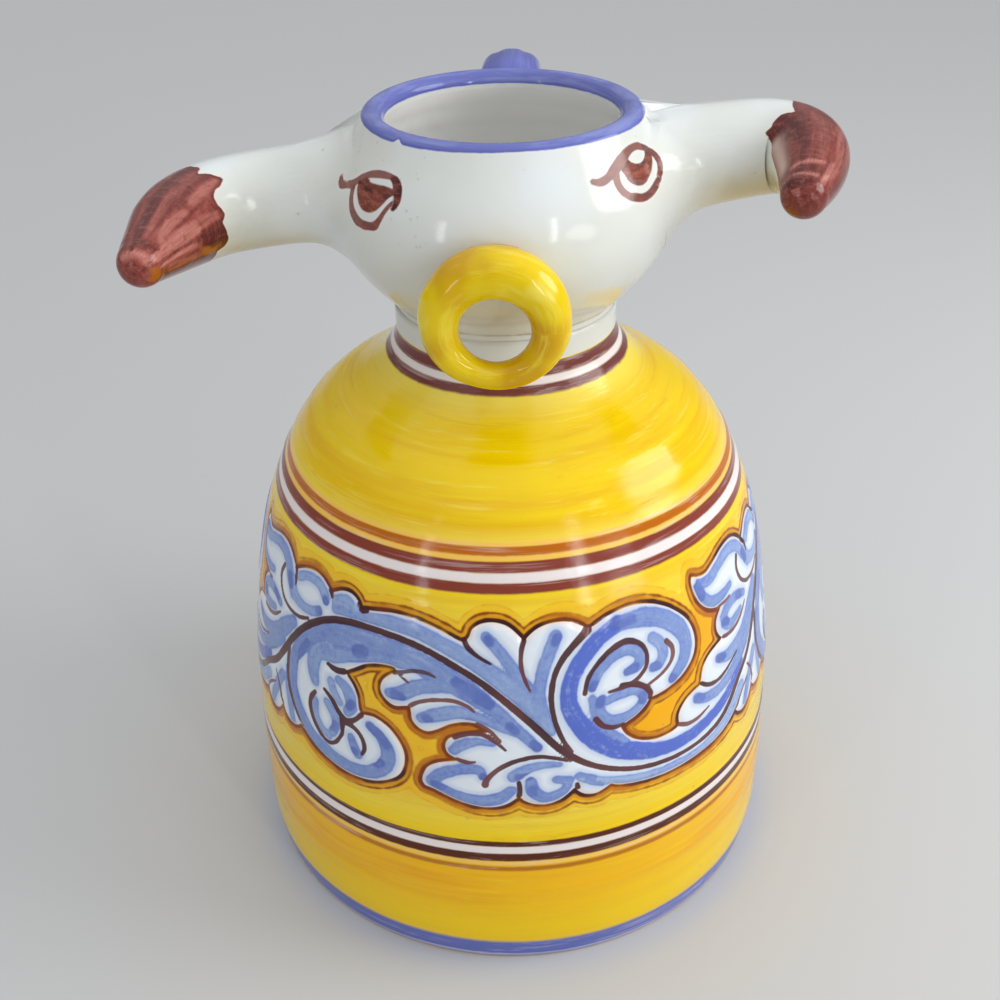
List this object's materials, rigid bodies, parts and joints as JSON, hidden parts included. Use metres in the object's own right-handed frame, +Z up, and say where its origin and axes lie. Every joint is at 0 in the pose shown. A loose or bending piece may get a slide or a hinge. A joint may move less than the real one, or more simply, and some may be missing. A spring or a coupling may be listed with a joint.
{
  "type": "bull jug",
  "caption": "Glazed earthenware jug with a bell-shaped body, a bull's head as its mouth, two curled horns, a nose ring and a loop handle at the back.",
  "frame": {"origin": "centre of the flat foot, on the axis that body and head were thrown about", "axes": "+Z up, -Y the way the bull faces, +X towards the bull's left horn, +Y towards the handle"},
  "size_m": [0.1617, 0.1465, 0.2051],
  "materials": {
    "body_glaze": "glossy tin glaze, brushed yellow with a painted leaf scroll",
    "head_glaze": "glossy white tin glaze with a blue lip and painted eyes",
    "horn_glaze": "glossy white tin glaze with brushed red-brown tips",
    "ring_glaze": "glossy yellow glaze",
    "handle_glaze": "glossy blue glaze"
  },
  "bodies": {
    "root": {"body": "body_glaze", "head": "head_glaze", "horn_right": "horn_glaze", "horn_left": "horn_glaze", "nose_ring": "ring_glaze", "handle": "handle_glaze"}
  },
  "joints": []
}
